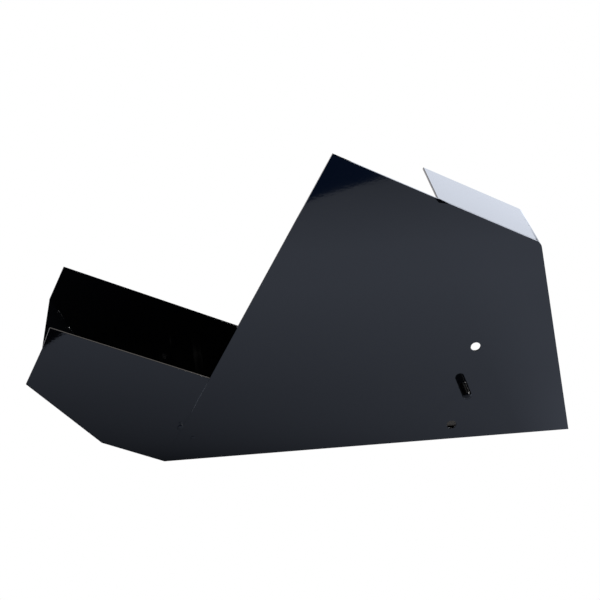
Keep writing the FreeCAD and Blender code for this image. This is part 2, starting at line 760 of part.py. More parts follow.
# ---------------------------------------------------------------- build, check and write
def build_all():
    side_plate()
    tray_side_wall()
    floor_sheet()
    far_wall()
    hood_back_panel()

    mount_stud()

    ribbed_mat()
    trap_mat()
    lower, upper = strip_ends()
    per_strip = len(strip_rivet_places()) // 2
    mat_strip("mat_strip_lower", lower, strip_rivet_places()[:per_strip])
    mat_strip("mat_strip_upper", upper, strip_rivet_places()[per_strip:])
    rivet_group("strip_rivets", strip_rivet_places(), STRIP_TOP)

    near_inner = f"({EAR_NEAR} + {p.ear_thick})"
    far_inner = f"({EAR_FAR} - {p.ear_thick})"
    per_ear = len(ear_rivet_places()) // 2
    hinge_ear("hinge_ear_near", EAR_NEAR, near_inner, f"({near_inner} + {p.ear_foot})",
              ear_rivet_places()[:per_ear])
    hinge_ear("hinge_ear_far", EAR_FAR, far_inner, f"({far_inner} - {p.ear_foot})",
              ear_rivet_places()[per_ear:])
    rivet_group("ear_rivets", ear_rivet_places(), EAR_SEAT)
    hinge_rod()
    clip_group("rod_clips", HINGE_CENTRE, p.rod_radius, [ROD_CLIP_NEAR, ROD_CLIP_FAR])

    far_outer = f"({p.box_width} - {p.tray_side_gap})"
    rail("rail_near", p.tray_side_gap, TRAY_INNER_NEAR, f"({TRAY_INNER_NEAR} + {p.rail_leg})",
         access_x=p.lower_hole_x)
    rail("rail_far", far_outer, TRAY_INNER_FAR, f"({TRAY_INNER_FAR} - {p.rail_leg})")
    end_bar("lower_end_bar", p.tray_start)
    end_bar("upper_end_bar", END_BAR_X)
    screen()
    for index in range(RIFFLE_COUNT):
        riffle(index)
    lift_handle()


def check_all():
    """Stop before anything is written if a feature failed or a sub-part has no sound shape."""
    doc.recompute()
    failed = [item.Name for item in doc.Objects
              if "Invalid" in item.State or "Error" in item.State]
    if failed:
        raise RuntimeError(f"failed objects: {failed}")
    for item in sub_parts:
        if item.Shape.isNull() or not item.Shape.isValid() or not item.Shape.Solids:
            raise RuntimeError(f"{item.Label} has no sound shape")


def write_all():
    os.makedirs("parts", exist_ok=True)
    for item in sub_parts:
        item.Shape.exportStep(f"parts/{item.Label}.step")
        box = item.Shape.BoundBox
        print(f"{item.Label:18s} solids {len(item.Shape.Solids)} volume {item.Shape.Volume:10.1f}"
              f"  x {box.XMin:7.1f} {box.XMax:7.1f}  y {box.YMin:6.1f} {box.YMax:6.1f}"
              f"  z {box.ZMin:6.1f} {box.ZMax:6.1f}")


build_all()
check_all()
write_all()
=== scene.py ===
import json
import math

import bmesh
import bpy
from mathutils import Matrix, Vector


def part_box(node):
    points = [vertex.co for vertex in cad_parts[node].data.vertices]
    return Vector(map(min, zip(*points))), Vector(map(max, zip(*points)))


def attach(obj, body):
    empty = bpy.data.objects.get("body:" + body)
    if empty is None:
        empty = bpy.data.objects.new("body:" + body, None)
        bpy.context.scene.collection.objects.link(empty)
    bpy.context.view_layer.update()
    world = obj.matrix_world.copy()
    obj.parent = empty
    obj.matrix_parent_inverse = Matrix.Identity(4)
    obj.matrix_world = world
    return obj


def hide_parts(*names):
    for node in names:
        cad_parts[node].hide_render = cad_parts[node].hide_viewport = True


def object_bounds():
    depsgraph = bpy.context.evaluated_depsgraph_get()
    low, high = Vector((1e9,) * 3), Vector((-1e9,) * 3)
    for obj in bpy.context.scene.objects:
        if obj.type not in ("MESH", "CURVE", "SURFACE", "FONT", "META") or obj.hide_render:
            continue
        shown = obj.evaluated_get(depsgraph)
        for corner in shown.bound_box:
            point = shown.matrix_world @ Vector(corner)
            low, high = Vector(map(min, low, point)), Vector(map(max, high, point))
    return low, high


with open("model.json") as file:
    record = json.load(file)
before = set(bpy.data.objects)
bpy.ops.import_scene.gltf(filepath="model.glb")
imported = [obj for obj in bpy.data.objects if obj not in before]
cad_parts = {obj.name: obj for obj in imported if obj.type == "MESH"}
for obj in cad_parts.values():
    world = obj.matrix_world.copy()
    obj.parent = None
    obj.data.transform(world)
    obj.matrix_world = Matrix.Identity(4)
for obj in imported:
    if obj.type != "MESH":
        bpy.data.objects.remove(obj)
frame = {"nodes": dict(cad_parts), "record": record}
cad_low, cad_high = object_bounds()
NODES = frame["nodes"]
SUB_PARTS = frame["record"]["subparts"]

MM = 0.001
SHEET = 2.0 * MM                    # the shell's sheet thickness
SAME_PLACE = 0.02 * MM              # points closer than this share a place
JOIN_DISTANCE = 0.002 * MM          # points of neighbouring faces that are one point
INWARD = Vector((0, 1, 0))          # from the tall side plate into the box


# ---------------------------------------------------------------- places read from the frame
def extreme(node, *directions):
    """The node's vertex that lies farthest in a direction, ties settled by the next direction."""
    points = [vertex.co.copy() for vertex in NODES[node].data.vertices]
    for direction in directions:
        along = Vector(direction)
        best = max(point.dot(along) for point in points)
        points = [point for point in points if point.dot(along) > best - SAME_PLACE]
    return points[0]


PLATE_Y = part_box("side_plate")[0].y                  # outer face of the tall side plate
PLATE_INNER_Y = PLATE_Y + SHEET
FAR_INNER_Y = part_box("far_wall")[1].y - SHEET
FOOT = extreme("side_plate", (0, 0, -1), (-1, 0, 0), (0, -1, 0))
BACK = extreme("side_plate", (1, 0, 0), (0, -1, 0))
TALL_TOP = extreme("side_plate", (0, 0, 1), (0, -1, 0))
TRAP_TOE = extreme("tray_side_wall", (-1, 0, -1.2), (0, -1, 0))
APRON_LIP = extreme("floor_sheet", (-1, 0, 0), (0, 0, 1))
RIM_CORNER = extreme("tray_side_wall", (1, 0, 0), (0, 0, 1), (0, -1, 0))    # rim's end at the plate
PLATE_EDGE = (TALL_TOP - FOOT).normalized()              # up the tall plate's front edge
PLATE_SIDE = Vector((PLATE_EDGE.z, 0, -PLATE_EDGE.x))    # square to it, away from the near wall
HOOD_START = extreme("hood_back_panel", PLATE_EDGE, -PLATE_SIDE)
BOX_MIDDLE = (cad_low + cad_high) / 2


# ---------------------------------------------------------------- node helpers for materials
MIX_FIRST, MIX_SECOND, MIX_RESULT = 6, 7, 2      # the mix node's colour sockets


class Nodes:
    """Short calls for one material's node tree."""

    def __init__(self, name):
        self.material = bpy.data.materials.new(name)
        self.material.use_nodes = True
        self.tree = self.material.node_tree
        self.shader = self.tree.nodes["Principled BSDF"]
        self.place = self.add("ShaderNodeTexCoord").outputs["Object"]

    def add(self, kind, **settings):
        node = self.tree.nodes.new(kind)
        for key, value in settings.items():
            setattr(node, key, value)
        return node

    def link(self, source, target):
        self.tree.links.new(source, target)

    def put(self, target, value):
        """Link a socket, or set a plain value."""
        if isinstance(value, bpy.types.NodeSocket):
            self.link(value, target)
        else:
            target.default_value = value

    def stretched(self, scale):
        node = self.add("ShaderNodeMapping")
        self.link(self.place, node.inputs["Vector"])
        node.inputs["Scale"].default_value = scale
        return node.outputs["Vector"]

    def noise(self, size, detail=2.0, place=None):
        """Noise whose features are about size metres across, as a number around one half."""
        node = self.add("ShaderNodeTexNoise")
        self.link(place or self.place, node.inputs["Vector"])
        node.inputs["Scale"].default_value = 1 / size
        node.inputs["Detail"].default_value = detail
        return node.outputs["Fac"]

    def span(self, value, low, high, to_low, to_high):
        node = self.add("ShaderNodeMapRange")
        self.link(value, node.inputs["Value"])
        for socket, number in zip(("From Min", "From Max", "To Min", "To Max"),
                                  (low, high, to_low, to_high)):
            node.inputs[socket].default_value = number
        return node.outputs["Result"]

    def mix(self, factor, first, second):
        node = self.add("ShaderNodeMix", data_type="RGBA")
        self.put(node.inputs["Factor"], factor)
        self.put(node.inputs[MIX_FIRST], (*first, 1))
        self.put(node.inputs[MIX_SECOND], (*second, 1))
        return node.outputs[MIX_RESULT]

    def bump(self, height, distance, under=None):
        node = self.add("ShaderNodeBump")
        self.link(height, node.inputs["Height"])
        node.inputs["Distance"].default_value = distance
        if under is not None:
            self.link(under, node.inputs["Normal"])
        return node.outputs["Normal"]

    def finish(self, colour, roughness, normal=None, metallic=0.0, **inputs):
        base = (*colour, 1) if isinstance(colour, tuple) else colour
        self.put(self.shader.inputs["Base Color"], base)
        self.put(self.shader.inputs["Roughness"], roughness)
        self.shader.inputs["Metallic"].default_value = metallic
        if normal is not None:
            self.link(normal, self.shader.inputs["Normal"])
        for key, value in inputs.items():
            self.put(self.shader.inputs[key.replace("_", " ")], value)
        return self.material


# ---------------------------------------------------------------- materials
COAT_IOR = 1.39                     # gives the black coat its measured share of mirror light
MOST = (0.3, 0.7)                   # the range that most of a noise's values lie in


def powder_coat(name):
    """Gloss black powder coat: orange peel about 2 mm across over a faintly wavy sheet."""
    n = Nodes(name)
    waves = n.bump(n.noise(90 * MM, 1.0), 0.16 * MM)
    peeled = n.bump(n.noise(2.4 * MM, 1.5), 0.010 * MM, under=waves)
    dust = n.span(n.noise(0.9 * MM, 3.0), 0.62, 0.75, 0.0, 1.0)
    colour = n.mix(dust, (0.0016, 0.0018, 0.0024), (0.0042, 0.0044, 0.005))
    roughness = n.span(n.noise(35 * MM, 3.0), *MOST, 0.035, 0.055)
    return n.finish(colour, roughness, peeled, IOR=COAT_IOR)


def weld_coat(name):
    """The same coat over a weld: thicker, with fine pits."""
    n = Nodes(name)
    pits = n.bump(n.noise(1.1 * MM, 3.0), 0.06 * MM)
    roughness = n.span(n.noise(4 * MM), *MOST, 0.16, 0.3)
    return n.finish((0.002, 0.0022, 0.0028), roughness, pits, IOR=COAT_IOR)


def dry_coat(name):
    """The coat over dressed metal: thin, dry and a shade lighter."""
    n = Nodes(name)
    grain = n.noise(0.7 * MM, 3.0)
    colour = n.mix(grain, (0.022, 0.022, 0.023), (0.048, 0.048, 0.05))
    roughness = n.span(grain, *MOST, 0.22, 0.36)
    return n.finish(colour, roughness, n.bump(grain, 0.02 * MM), IOR=COAT_IOR)


def stud_steel(name):
    """Black coated steel, worn a little brighter in patches."""
    n = Nodes(name)
    worn = n.span(n.noise(2.2 * MM, 3.0), 0.55, 0.75, 0.0, 1.0)
    colour = n.mix(worn, (0.0018, 0.0018, 0.002), (0.012, 0.012, 0.013))
    roughness = n.span(n.noise(3 * MM), *MOST, 0.10, 0.17)
    return n.finish(colour, roughness, n.bump(n.noise(0.5 * MM, 3.0), 0.006 * MM), IOR=1.22)


def zinc_plate(name):
    """Bright zinc with a faint blue and yellow cast and light scuffs."""
    n = Nodes(name)
    cast = n.mix(n.noise(14 * MM, 2.0), (0.50, 0.53, 0.60), (0.60, 0.57, 0.50))
    scuff = n.noise(0.7 * MM, 3.0, n.stretched((1, 0.12, 1)))
    roughness = n.span(scuff, 0.35, 0.7, 0.22, 0.42)
    return n.finish(cast, roughness, n.bump(scuff, 0.008 * MM), metallic=1.0)


def satin_coat(name):
    """Satin black coat of the tray, fine grained, with a little dried silt on it."""
    n = Nodes(name)
    grain = n.noise(0.8 * MM, 3.0)
    silt = n.span(n.noise(22 * MM, 4.0), 0.55, 0.8, 0.0, 0.3)
    colour = n.mix(silt, (0.007, 0.007, 0.0075), (0.045, 0.043, 0.041))
    roughness = n.span(grain, *MOST, 0.3, 0.42)
    return n.finish(colour, roughness, n.bump(grain, 0.012 * MM), IOR=1.7)


def brushed_stainless(name):
    """Stainless bar, brushed along its length across the flow."""
    n = Nodes(name)
    grain = n.noise(0.35 * MM, 3.0, n.stretched((1, 0.015, 1)))
    colour = n.mix(grain, (0.44, 0.43, 0.42), (0.60, 0.59, 0.57))
    roughness = n.span(grain, *MOST, 0.24, 0.40)
    bump = n.bump(grain, 0.006 * MM)
    return n.finish(colour, roughness, bump, metallic=1.0, Anisotropic=0.6)


def rivet_alloy(name):
    """Cold-headed aluminium, satin, with small tool marks."""
    n = Nodes(name)
    marks = n.noise(0.6 * MM, 3.0)
    roughness = n.span(marks, *MOST, 0.30, 0.48)
    return n.finish((0.66, 0.66, 0.67), roughness, n.bump(marks, 0.01 * MM), metallic=1.0)


def mat_rubber(name):
    """Matt black rubber with a fine moulded grain and silt in the low places."""
    n = Nodes(name)
    grain = n.noise(0.6 * MM, 3.0)
    silt = n.span(n.noise(30 * MM, 5.0), 0.52, 0.8, 0.0, 0.5)
    colour = n.mix(silt, (0.012, 0.012, 0.0125), (0.045, 0.04, 0.034))
    return n.finish(colour, n.span(grain, *MOST, 0.62, 0.82), n.bump(grain, 0.05 * MM))


MATERIALS = {
    "shell_coat": powder_coat("shell_coat"),
    "stud_steel": stud_steel("stud_steel"),
    "zinc_steel": zinc_plate("zinc_steel"),
    "tray_steel": satin_coat("tray_steel"),
    "riffle_steel": brushed_stainless("riffle_steel"),
    "rivet_alloy": rivet_alloy("rivet_alloy"),
    "mat_rubber": mat_rubber("mat_rubber"),
}
WELD_COAT = weld_coat("weld_coat")
DRY_COAT = dry_coat("dry_coat")


def paint_cad_nodes():
    """Give every CAD node the material that the record names for it."""
    for part in SUB_PARTS:
        item = NODES[part["node"]]
        item.data.materials.clear()
        item.data.materials.append(MATERIALS[part["material_slot"]])


# ---------------------------------------------------------------- softened edges of kept nodes
# Width of the rounding on a sheet, bar or moulding's edges.
EDGE_WIDTHS = {
    "shell_coat": 0.3 * MM,
    "tray_steel": 0.25 * MM,
    "riffle_steel": 0.25 * MM,
    "zinc_steel": 0.25 * MM,
    "mat_rubber": 0.4 * MM,
    "stud_steel": 0.2 * MM,
    "rivet_alloy": 0.2 * MM,
}
SHARP_ANGLE = math.radians(32)


def soften(item, width):
    """Join the imported faces and round the sharp edges slightly, inside the part's own size."""
    weld = item.modifiers.new("join_faces", "WELD")
    weld.merge_threshold = JOIN_DISTANCE
    bevel = item.modifiers.new("soft_edges", "BEVEL")
    bevel.width = width
    bevel.segments = 2
    bevel.limit_method = "ANGLE"
    bevel.angle_limit = SHARP_ANGLE
    bevel.harden_normals = True
    bevel.use_clamp_overlap = True


def soften_cad_nodes():
    for part in SUB_PARTS:
        soften(NODES[part["node"]], EDGE_WIDTHS[part["material_slot"]])


# ---------------------------------------------------------------- pieces in mesh code
def new_piece(name, mesh_data, material, body, smooth=True):
    """Mesh object from a bmesh, riding on a body and taking the material it is given."""
    mesh = bpy.data.meshes.new(name)
    bmesh.ops.recalc_face_normals(mesh_data, faces=mesh_data.faces)
    mesh_data.to_mesh(mesh)
    mesh_data.free()
    for face in mesh.polygons:
        face.use_smooth = smooth
    mesh.materials.append(material)
    item = bpy.data.objects.new(name, mesh)
    bpy.context.scene.collection.objects.link(item)
    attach(item, body)
    return item


def loft(mesh_data, rings):
    """Skin rings of equal point counts, and cap both ends."""
    rows = [[mesh_data.verts.new(point) for point in ring] for ring in rings]
    count = len(rows[0])
    for first, second in zip(rows, rows[1:]):
        for index in range(count):
            after = (index + 1) % count
            mesh_data.faces.new((first[index], first[after], second[after], second[index]))
    mesh_data.faces.new(rows[0][::-1])
    mesh_data.faces.new(rows[-1])


# ---------------------------------------------------------------- welds
BEAD_PITCH = 2.6 * MM               # spacing of the ripples in a weld
BEAD_STEPS = 6                      # rings per ripple
BEAD_RIPPLE = 0.14                  # how far the ripples sink, as a share of the leg
BEAD_LAG = 0.35                     # how far the crown trails the legs, as a share of the pitch
BEAD_TAPER, BEAD_END = 1.2, 0.15    # a bead swells from its end over this many legs
BEAD_SINK = 0.1 * MM                # how far a bead reaches into the two faces
BEAD_FACE = (0.25, 0.5, 0.75)       # quarter turns between the legs, as shares
HOOD_WELD_LEG, APRON_WELD_LEG, SEAM_WELD_LEG = 2.4 * MM, 2.6 * MM, 1.7 * MM
STITCH = 16 * MM                    # length of one short weld
HOOD_GAP, APRON_GAP = 12 * MM, 14 * MM              # between short welds
HOOD_WELD_REACH = (6 * MM, 104 * MM)                # from the hood's start
BACK_WELD_REACH = (10 * MM, 214 * MM)               # from the back panel's foot
APRON_WELD_START = 14 * MM                          # from the trap's toe
APRON_WELD_ENDS = {"near": 118 * MM, "far": 106 * MM}
SEAM_WELD_START, SEAM_WELD_SHORT = 12 * MM, 5 * MM  # from the foot, and short of the rim


def weld_bead(mesh_data, start, end, side_a, side_b, leg):
    """Fillet weld in the corner between two faces that run along side_a and side_b."""
    a, b = Vector(side_a).normalized(), Vector(side_b).normalized()
    run = end - start
    count = max(8, int(run.length / BEAD_PITCH * BEAD_STEPS))
    lag = run.normalized() * (-BEAD_LAG * BEAD_PITCH)
    rings = []
    for step in range(count + 1):
        share = step / count
        phase = (share * run.length / BEAD_PITCH) % 1.0
        ripple = 1 - BEAD_RIPPLE + BEAD_RIPPLE * math.sin(math.pi * phase) ** 0.6
        swell = min(share, 1 - share) * run.length / (BEAD_TAPER * leg) + BEAD_END
        size = leg * ripple * math.sqrt(min(1.0, swell))
        base = start + run * share
        ring = [base - (a + b) * BEAD_SINK, base + a * size - b * BEAD_SINK]
        for turn in BEAD_FACE:
            angle = turn * math.pi / 2
            reach = size * (0.80 + 0.06 * math.sin(2 * angle))
            crown = math.sin(math.pi * turn)
            face = a * math.cos(angle) + b * math.sin(angle)
            ring.append(base + face * reach + lag * crown)
        ring.append(base + b * size - a * BEAD_SINK)
        rings.append(ring)
    loft(mesh_data, rings)


def stitch_weld(name, start, end, side_a, side_b, leg, gap):
    """Row of short welds evenly spaced along a corner, as one piece."""
    mesh_data = bmesh.new()
    run = end - start
    count = max(1, round((run.length + gap) / (STITCH + gap)))
    pitch = run.length / count
    direction = run.normalized()
    half = direction * min(STITCH, pitch * 0.9) / 2
    for index in range(count):
        centre = start + direction * pitch * (index + 0.5)
        weld_bead(mesh_data, centre - half, centre + half, side_a, side_b, leg)
    new_piece(name, mesh_data, WELD_COAT, "shell")


def shell_welds():
    """Stitch welds inside the shell where its sheets meet."""
    apron_up = (APRON_LIP - TRAP_TOE).normalized()
    apron_normal = Vector((apron_up.z, 0, -apron_up.x))
    toe = TRAP_TOE + apron_normal * SHEET
    for label, y, into in (("near", PLATE_INNER_Y, 1), ("far", FAR_INNER_Y, -1)):
        corner = Vector((toe.x, y, toe.z))
        stitch_weld(f"apron_weld_{label}", corner + apron_up * APRON_WELD_START,
                    corner + apron_up * APRON_WELD_ENDS[label], INWARD * into, apron_normal,
                    APRON_WELD_LEG, APRON_GAP)

    # Under the hood and up the back panel, against the tall plate's inner face.
    hood_line = Vector((HOOD_START.x, PLATE_INNER_Y, HOOD_START.z)) - PLATE_EDGE * SHEET
    stitch_weld("hood_weld", hood_line + PLATE_SIDE * HOOD_WELD_REACH[0],
                hood_line + PLATE_SIDE * HOOD_WELD_REACH[1], INWARD, -PLATE_EDGE,
                HOOD_WELD_LEG, HOOD_GAP)
    back_up = (extreme("side_plate", (1, 0, 0.3), (0, -1, 0)) - BACK).normalized()
    back_in = Vector((-back_up.z, 0, back_up.x))
    back_line = Vector((BACK.x, PLATE_INNER_Y, BACK.z)) + back_in * SHEET
    stitch_weld("back_weld", back_line + back_up * BACK_WELD_REACH[0],
                back_line + back_up * BACK_WELD_REACH[1], INWARD, back_in,
                HOOD_WELD_LEG, HOOD_GAP)

    # Seam between the tall plate and the near wall, inside the tray.
    foot = Vector((FOOT.x, PLATE_INNER_Y, FOOT.z))
    start = foot + PLATE_EDGE * SEAM_WELD_START
    end = foot + PLATE_EDGE * (SEAM_LENGTH - SEAM_WELD_SHORT)
    across = PLATE_EDGE.cross(INWARD)
    mesh_data = bmesh.new()
    weld_bead(mesh_data, start, end, across, INWARD, SEAM_WELD_LEG)
    weld_bead(mesh_data, start, end, -across, INWARD, SEAM_WELD_LEG)
    new_piece("inner_seam_weld", mesh_data, WELD_COAT, "shell")


# ---------------------------------------------------------------- flush seam outside
SEAM_LENGTH = (RIM_CORNER - FOOT).length
SEAM_STEPS = 70
FILL_START, DRY_START, DRY_END = 0.012, 0.60, 0.965      # shares of the seam's length
FILL_OVERLAP = 0.01
FILL_HALF_WIDTH, FILL_PROUD = 0.8 * MM, 0.03 * MM
DRY_HALF_WIDTH, DRY_PROUD, DRY_UNEVENNESS = 0.6 * MM, 0.06 * MM, 0.28
STRIP_TIP = 0.02 * MM               # half width left at a strip's ends
STRIP_SINK = 0.3 * MM               # depth of its underside in the plate
# Section of a strip: share of its half width, and share of how far it stands proud.
STRIP_SECTION = ((-1, -0.5), (-0.5, 0.9), (0, 1), (0.5, 0.9), (1, -0.5))
# Spatter beside the seam: metres up from the foot, across, and radius.
SPATTER = ((0.0448, -0.0022, 0.0034), (0.0498, -0.0040, 0.0022), (0.0380, 0.0152, 0.0024),
           (0.0284, -0.0014, 0.0010), (0.0575, 0.0016, 0.0008))
SPATTER_SINK = 0.2                  # share of its radius below the plate's face
SPATTER_HEIGHT = 0.25               # height against a round ball's
SPATTER_SIDES, SPATTER_RINGS = 14, 8


def plate_point(along, across, proud=0.0):
    """Point near the seam: metres up the plate's front edge, across it, and out of the plate."""
    base = FOOT + PLATE_EDGE * along + PLATE_SIDE * across
    return Vector((base.x, PLATE_Y - proud, base.z))


def seam_strip(name, first, last, half_width, unevenness, proud, material):
    """Narrow strip along the flush seam between two shares of its length."""
    mesh_data = bmesh.new()
    rings = []
    for step in range(SEAM_STEPS + 1):
        share = step / SEAM_STEPS
        along = (first + (last - first) * share) * SEAM_LENGTH
        taper = math.sin(math.pi * share) ** 0.4
        uneven = 1 + unevenness * (math.sin(share * 37) + 0.6 * math.sin(share * 83 + 1))
        half = half_width * uneven * taper + STRIP_TIP
        drift = unevenness * 0.8 * MM * math.sin(share * 9 + 0.5)
        ring = [plate_point(along, drift + half * offset, proud * rise)
                for offset, rise in STRIP_SECTION]
        ring.append(plate_point(along, drift, -STRIP_SINK))
        rings.append(ring)
    loft(mesh_data, rings)
    new_piece(name, mesh_data, material, "shell")


def seam_dressing():
    """The seam of the tall plate and the near wall: filled flush low down, and dry above."""
    seam_strip("seam_fill", FILL_START, DRY_START + FILL_OVERLAP, FILL_HALF_WIDTH, 0.0,
               FILL_PROUD, MATERIALS["shell_coat"])
    seam_strip("seam_dressing", DRY_START, DRY_END, DRY_HALF_WIDTH, DRY_UNEVENNESS,
               DRY_PROUD, DRY_COAT)


def spatter_blob(mesh_data, centre, radius):
    """Ball of rings between two poles, flattened towards the plate's face."""
    def point(around, down):
        turn = math.pi / 2 + 2 * math.pi * around / SPATTER_SIDES
        fall = math.pi * down / SPATTER_RINGS
        out = math.sin(fall)
        spot = centre + Vector((out * math.cos(turn), out * math.sin(turn), math.cos(fall))) * radius
        spot.y = PLATE_Y + (spot.y - PLATE_Y) * SPATTER_HEIGHT
        return mesh_data.verts.new(spot)

    top, bottom = point(0, 0), point(0, SPATTER_RINGS)
    rows = [[point(around, down) for around in range(SPATTER_SIDES)]
            for down in range(1, SPATTER_RINGS)]
    for around in range(SPATTER_SIDES):
        after = (around + 1) % SPATTER_SIDES
        mesh_data.faces.new((top, rows[0][around], rows[0][after]))
        for upper, lower in zip(rows, rows[1:]):
            mesh_data.faces.new((upper[around], lower[around], lower[after], upper[after]))
        mesh_data.faces.new((bottom, rows[-1][after], rows[-1][around]))


def spatter_blobs():
    """Small low blobs of spatter under the coat beside the seam."""
    mesh_data = bmesh.new()
    for along, across, radius in SPATTER:
        spatter_blob(mesh_data, plate_point(along, across, -SPATTER_SINK * radius), radius)
    new_piece("weld_spatter", mesh_data, MATERIALS["shell_coat"], "shell")


# ---------------------------------------------------------------- hood's start
# The wedge notch along the top edge from the hood's start: its ends, its deepest place and depth.
NOTCH_LEAD, NOTCH_DEEPEST, NOTCH_LENGTH = -5.0 * MM, 2.5 * MM, 13.5 * MM
NOTCH_DEPTH, NOTCH_END_DEPTH = 3.2 * MM, 0.1 * MM
FACET_RUN = 0.55                    # how far the filler slopes back for each metre of depth
FACET_TOP = 0.05 * MM               # its top, just under the plate's edge


def fold_start():
    """Filler in the wedge notch, sloping from the plate's face up to the hood."""
    rings = []
    for along, depth in ((NOTCH_LEAD, NOTCH_END_DEPTH), (NOTCH_DEEPEST, NOTCH_DEPTH),
                         (NOTCH_LENGTH, NOTCH_END_DEPTH)):
        top = HOOD_START + PLATE_SIDE * along
        section = ((PLATE_Y, depth), (PLATE_Y + depth * FACET_RUN, FACET_TOP),
                   (PLATE_INNER_Y, FACET_TOP), (PLATE_INNER_Y, depth))
        rings.append([Vector((top.x, y, top.z)) - PLATE_EDGE * sunk for y, sunk in section])
    mesh_data = bmesh.new()
    loft(mesh_data, rings)
    coat = MATERIALS["shell_coat"]
    new_piece("fold_start", mesh_data, coat, "shell", smooth=False)


# ---------------------------------------------------------------- stud
STUD_RADIUS = 5.0 * MM
STUD_ROOT_RADIUS, STUD_ROOT_REACH = 5.2 * MM, 0.4 * MM
STUD_PLAIN = 1.6 * MM               # unthreaded length next to the plate
STUD_SIDES = 48
STUD_POLE = 0.05 * MM               # radius of the small flats that close its ends
HEAD_CHAMFER, HEAD_CHAMFER_DEPTH = 0.2 * MM, 0.25 * MM
NOSE_LENGTH, NOSE_RADIUS = 2.0 * MM, 3.0 * MM
THREAD_PITCH, THREAD_DEPTH, THREAD_ROWS = 1.5 * MM, 0.4 * MM, 8
THREAD_LEAD = 0.3 * MM              # plain length just before the thread starts


def threaded_stud():
    """Coated M10 stud: plain root, helical thread, chamfered nose, and its thin head inside."""
    low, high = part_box("mount_stud")
    centre = (low + high) / 2
    tip_y, head_y = low.y, high.y
    head_radius = (high.x - low.x) / 2
    root_y = PLATE_Y - STUD_ROOT_REACH
    thread_start = PLATE_Y - STUD_PLAIN
    profile = [(head_y, STUD_POLE, False), (head_y, head_radius - HEAD_CHAMFER, False),
               (head_y - HEAD_CHAMFER_DEPTH, head_radius, False),
               (PLATE_INNER_Y, head_radius, False), (PLATE_INNER_Y, STUD_ROOT_RADIUS, False),
               (root_y, STUD_ROOT_RADIUS, False), (root_y, STUD_RADIUS, False),
               (thread_start + THREAD_LEAD, STUD_RADIUS, False)]
    rungs = int((thread_start - tip_y) / (THREAD_PITCH / THREAD_ROWS))
    for rung in range(rungs + 1):
        y = thread_start + (tip_y - thread_start) * rung / rungs
        chamfer = min(1.0, (y - tip_y) / NOSE_LENGTH)
        profile.append((y, NOSE_RADIUS + (STUD_RADIUS - NOSE_RADIUS) * chamfer, True))
    profile.append((tip_y, STUD_POLE, False))
    mesh_data = bmesh.new()
    rings = []
    for y, radius, threaded in profile:
        turns = (thread_start - y) / THREAD_PITCH
        ring = []
        for index in range(STUD_SIDES):
            angle = 2 * math.pi * index / STUD_SIDES
            reach = radius
            if threaded:
                phase = (turns + index / STUD_SIDES) % 1.0
                depth = THREAD_DEPTH * min(1.0, turns) * (1 - abs(2 * phase - 1)) ** 0.8
                reach = min(radius, STUD_RADIUS - depth)
            ring.append(Vector((centre.x + math.cos(angle) * reach, y,
                                centre.z + math.sin(angle) * reach)))
        rings.append(ring)
    loft(mesh_data, rings)
    piece = new_piece("threaded_stud", mesh_data, MATERIALS["stud_steel"], "shell")
    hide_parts("mount_stud")


# ---------------------------------------------------------------- rivets
RIVET_RADIUS, RIVET_HEAD_HEIGHT = 2.0 * MM, 1.4 * MM
RIVET_SIDES = 24
DIMPLE_RADIUS, DIMPLE_DEPTH = 0.4 * MM, 0.35 * MM        # floor of the mandrel's dimple
DIMPLE_WALL, DIMPLE_WALL_DEPTH = 0.275, 0.3 * MM         # share of the head's radius, and depth
CROWN, CROWN_SINK = 0.36, 0.02 * MM                      # share of the head's radius, and depth
DOME_TURNS = (0.25, 0.5, 0.75, 1.0)                      # quarter turns from the crown to the rim


def islands(node):
    """Bounding boxes of the node's separate solids, in a fixed order."""
    mesh_data = bmesh.new()
    mesh_data.from_mesh(NODES[node].data)
    bmesh.ops.remove_doubles(mesh_data, verts=mesh_data.verts, dist=JOIN_DISTANCE)
    seen, boxes = set(), []
    for first in mesh_data.verts:
        if first in seen:
            continue
        seen.add(first)
        group, queue = [], [first]
        while queue:
            vertex = queue.pop()
            group.append(vertex.co.copy())
            for edge in vertex.link_edges:
                other = edge.other_vert(vertex)
                if other not in seen:
                    seen.add(other)
                    queue.append(other)
        low = Vector(min(point[axis] for point in group) for axis in range(3))
        high = Vector(max(point[axis] for point in group) for axis in range(3))
        boxes.append((low, high))
    mesh_data.free()
    return sorted(boxes, key=lambda pair: tuple(round(value, 5) for value in pair[0]))


def domed_rivets(node, name):
    """Blind rivets with domed heads and a small mandrel dimple, one set for a CAD node."""
    mesh_data = bmesh.new()
    for low, high in islands(node):
        centre = (low + high) / 2
        head = (high.x - low.x) / 2
        top = high.z
        base = top - RIVET_HEAD_HEIGHT
        profile = [(DIMPLE_RADIUS, top - DIMPLE_DEPTH),
                   (DIMPLE_WALL * head, top - DIMPLE_WALL_DEPTH), (CROWN * head, top - CROWN_SINK)]
        for turn in DOME_TURNS:
            angle = turn * math.pi / 2
            rise = (RIVET_HEAD_HEIGHT - CROWN_SINK) * math.cos(angle) ** 0.8
            profile.append((head * (CROWN + (1 - CROWN) * math.sin(angle)), base + rise))
        profile += [(head, base), (RIVET_RADIUS, base), (RIVET_RADIUS, low.z)]
        angles = [2 * math.pi * index / RIVET_SIDES for index in range(RIVET_SIDES)]
        rings = [[Vector((centre.x + math.cos(angle) * radius,
                          centre.y + math.sin(angle) * radius, z)) for angle in angles]
                 for radius, z in profile]
        loft(mesh_data, rings)
    piece = new_piece(name, mesh_data, MATERIALS["rivet_alloy"], "shell")
    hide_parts(node)


